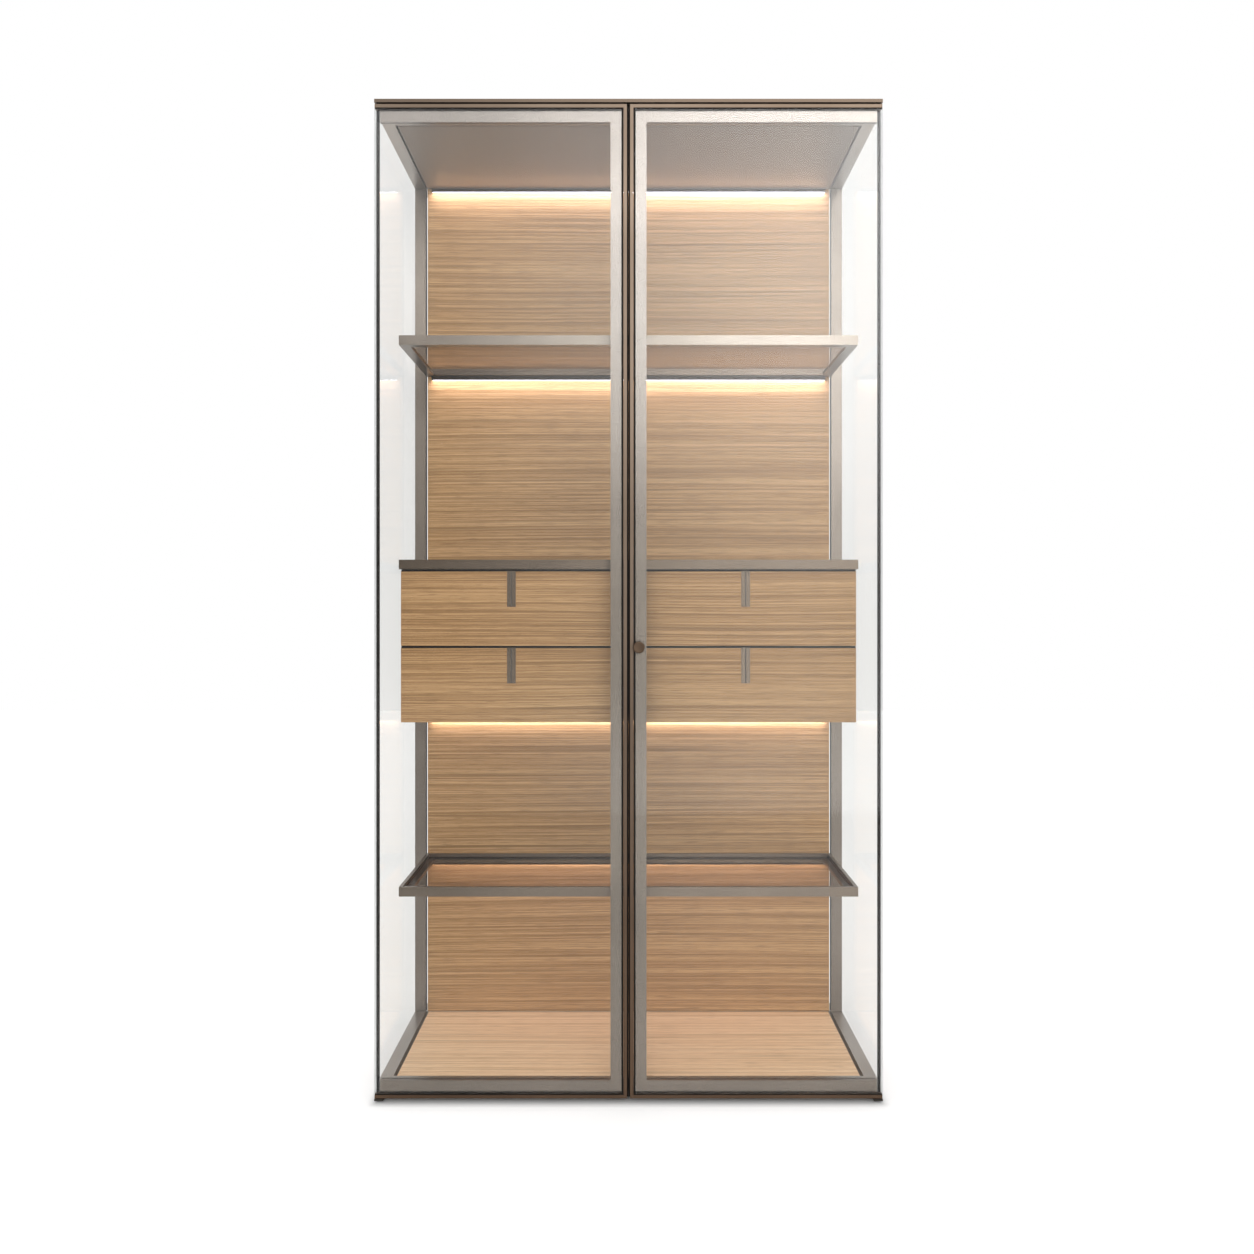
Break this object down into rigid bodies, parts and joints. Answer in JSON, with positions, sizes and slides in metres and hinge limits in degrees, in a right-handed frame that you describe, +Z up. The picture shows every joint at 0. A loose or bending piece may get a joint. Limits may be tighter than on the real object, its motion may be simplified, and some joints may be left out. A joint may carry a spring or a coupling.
{
  "type": "glass display showcase",
  "caption": "Tall free-standing glass showcase with pivot doors, glass sides, framed glass shelves, a lit wood back and a hung case of drawers.",
  "frame": {"origin": "on the floor, under the middle of the whole object's box", "axes": "+Z up, +X to the right as seen from the front, +Y towards the back, so the doors face -Y"},
  "size_m": [1.13, 0.497, 2.23],
  "materials": {
    "bronze_anodised": "bronze anodised",
    "champagne_satin": "satin anodised",
    "ceiling_lining": "matt laminate",
    "light_walnut": "satin veneer",
    "tray_board": "veneered board",
    "clear_glass": "polished",
    "tinted_glass": "polished, bronze tint",
    "zinc_steel": "zinc plated",
    "black_polymer": "moulded",
    "foot_rubber": "matt",
    "light_bar": "opal diffuser"
  },
  "bodies": {
    "cabinet": {"top_cap": "bronze_anodised", "top_frame": "champagne_satin", "base_frame": "champagne_satin", "upright_left": "champagne_satin", "upright_right": "champagne_satin", "side_glass_left": "clear_glass", "side_glass_right": "clear_glass", "ceiling_panel": "ceiling_lining", "floor_panel": "light_walnut", "back_panel": "light_walnut", "foot_front_left": "foot_rubber", "foot_front_right": "foot_rubber", "foot_back_left": "foot_rubber", "foot_back_right": "foot_rubber", "pivot_bracket_left": "zinc_steel", "pivot_bracket_right": "zinc_steel", "door_catch": "black_polymer", "ceiling_light": "light_bar", "upper_shelf_frame": "champagne_satin", "upper_shelf_glass": "tinted_glass", "upper_shelf_light": "light_bar", "lower_shelf_frame": "champagne_satin", "lower_shelf_glass": "tinted_glass", "lower_shelf_light": "light_bar", "case_top": "champagne_satin", "case_side_left": "tray_board", "case_side_right": "tray_board", "case_divider": "champagne_satin", "case_bottom": "tray_board", "case_light": "light_bar", "runner_upper_left_inner": "zinc_steel", "runner_upper_left_outer": "zinc_steel", "runner_upper_right_inner": "zinc_steel", "runner_upper_right_outer": "zinc_steel", "runner_lower_left_inner": "zinc_steel", "runner_lower_left_outer": "zinc_steel", "runner_lower_right_inner": "zinc_steel", "runner_lower_right_outer": "zinc_steel", "light_driver": "black_polymer"},
    "door_left": {"door_left_frame": "bronze_anodised", "door_left_glass": "clear_glass", "door_left_band": "champagne_satin", "door_left_top_pivot": "zinc_steel"},
    "door_right": {"door_right_frame": "bronze_anodised", "door_right_glass": "clear_glass", "door_right_band": "champagne_satin", "door_right_top_pivot": "zinc_steel", "door_knob": "bronze_anodised"},
    "drawer_upper_left": {"drawer_upper_left_front": "light_walnut", "drawer_upper_left_tray": "tray_board", "drawer_upper_left_pull": "champagne_satin"},
    "drawer_upper_right": {"drawer_upper_right_front": "light_walnut", "drawer_upper_right_tray": "tray_board", "drawer_upper_right_pull": "champagne_satin"},
    "drawer_lower_left": {"drawer_lower_left_front": "light_walnut", "drawer_lower_left_tray": "tray_board", "drawer_lower_left_pull": "champagne_satin"},
    "drawer_lower_right": {"drawer_lower_right_front": "light_walnut", "drawer_lower_right_tray": "tray_board", "drawer_lower_right_pull": "champagne_satin"}
  },
  "joints": [
    {"name": "door_left_hinge", "type": "hinge", "parent": "cabinet", "child": "door_left", "pos_m": [-0.5575, -0.2235, 1.1], "axis": [0, 0, -1], "range_deg": [0, 105]},
    {"name": "door_right_hinge", "type": "hinge", "parent": "cabinet", "child": "door_right", "pos_m": [0.5575, -0.2235, 1.1], "axis": [0, 0, 1], "range_deg": [0, 105]},
    {"name": "drawer_upper_left_slide", "type": "slide", "parent": "cabinet", "child": "drawer_upper_left", "axis": [0, -1, 0], "range_m": [0, 0.21]},
    {"name": "drawer_upper_right_slide", "type": "slide", "parent": "cabinet", "child": "drawer_upper_right", "axis": [0, -1, 0], "range_m": [0, 0.21]},
    {"name": "drawer_lower_left_slide", "type": "slide", "parent": "cabinet", "child": "drawer_lower_left", "axis": [0, -1, 0], "range_m": [0, 0.21]},
    {"name": "drawer_lower_right_slide", "type": "slide", "parent": "cabinet", "child": "drawer_lower_right", "axis": [0, -1, 0], "range_m": [0, 0.21]}
  ],
  "couplings": [
    {"joint": "drawer_upper_left_slide", "follows": "door_left_hinge", "m_per_rad": 0.1145},
    {"joint": "drawer_lower_left_slide", "follows": "door_left_hinge", "m_per_rad": 0.1145},
    {"joint": "drawer_upper_right_slide", "follows": "door_right_hinge", "m_per_rad": 0.1145},
    {"joint": "drawer_lower_right_slide", "follows": "door_right_hinge", "m_per_rad": 0.1145}
  ]
}
